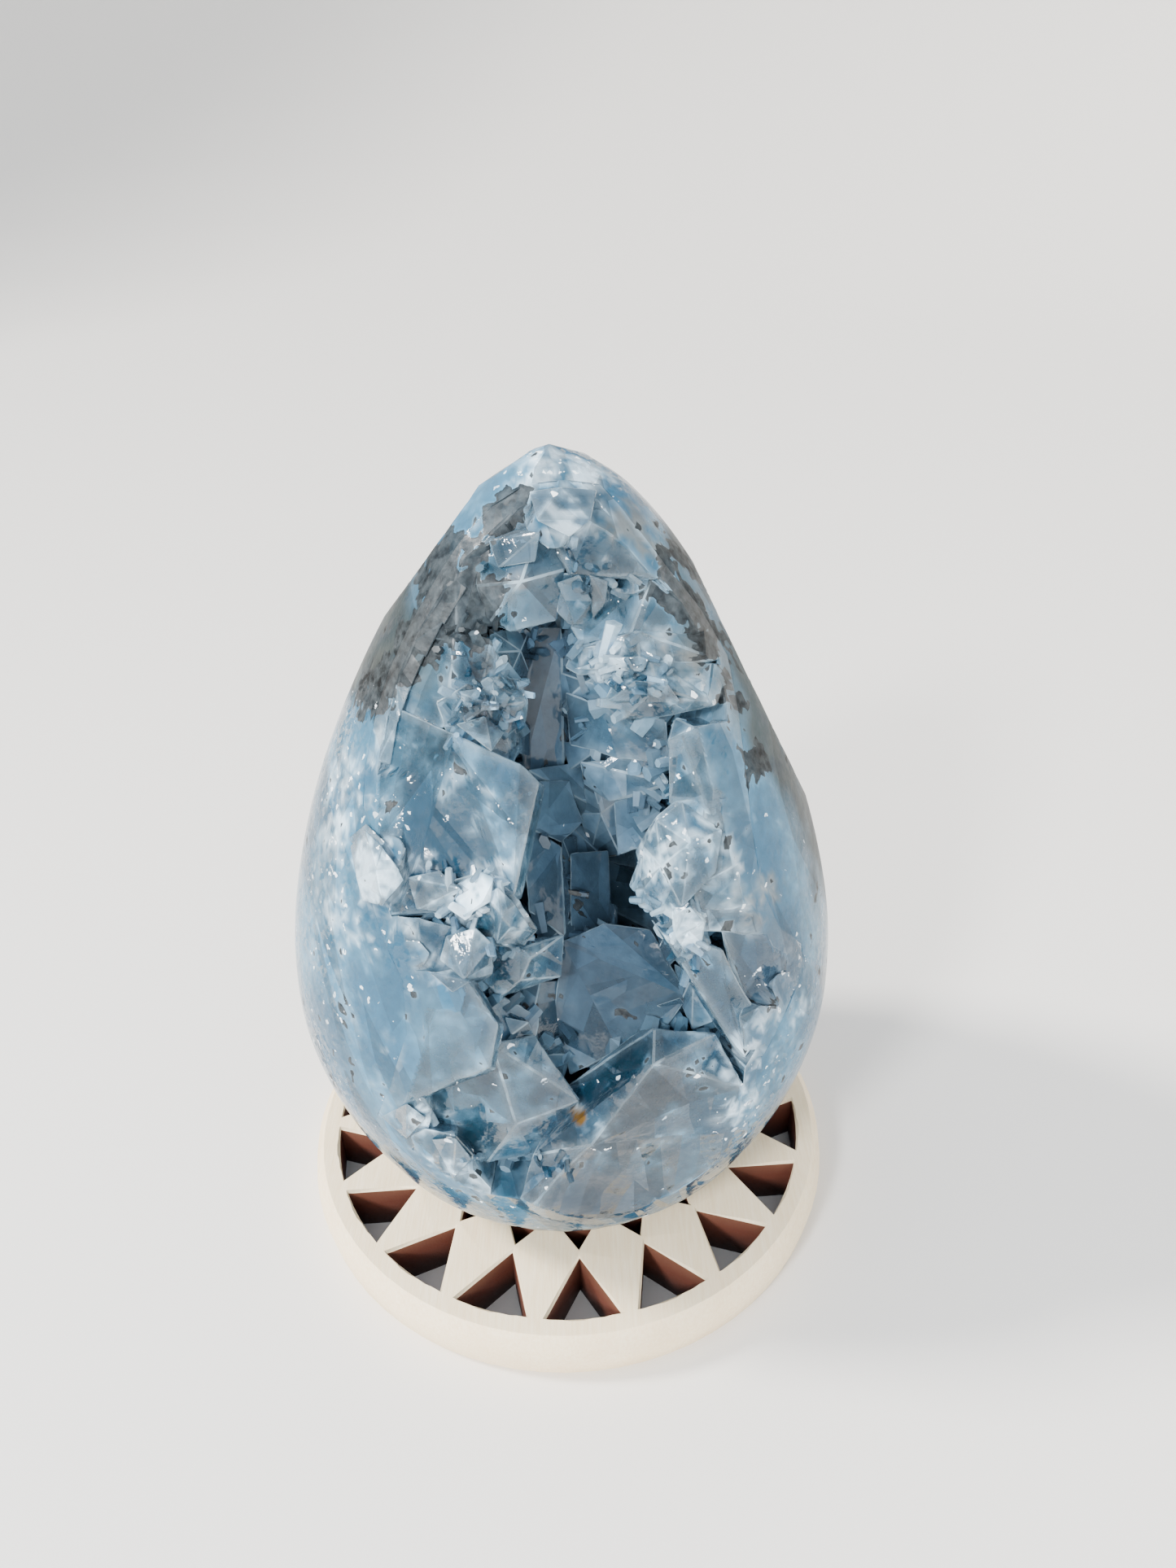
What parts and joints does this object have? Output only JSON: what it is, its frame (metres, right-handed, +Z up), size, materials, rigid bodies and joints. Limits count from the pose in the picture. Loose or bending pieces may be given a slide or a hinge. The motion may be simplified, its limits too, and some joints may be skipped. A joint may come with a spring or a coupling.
{
  "type": "celestite geode egg on a wooden stand",
  "caption": "Celestite geode ground and polished to a standing egg, its crystal-lined hollow open at the front, resting on a thin openwork wooden disc.",
  "frame": {"origin": "centre of the stand's flat underside, where the object rests", "axes": "+Z up along the egg's height, -Y out of the hollow's mouth, +X to the right as seen from the front"},
  "size_m": [0.0856, 0.0856, 0.1193],
  "materials": {
    "polished_celestite": "polished",
    "celestite_crystal": "natural crystal faces, glassy",
    "pale_plywood": "laser cut, sanded, unvarnished"
  },
  "bodies": {
    "root": {"geode_egg": "polished_celestite", "crystal_crust": "celestite_crystal", "wooden_stand": "pale_plywood"}
  },
  "joints": []
}
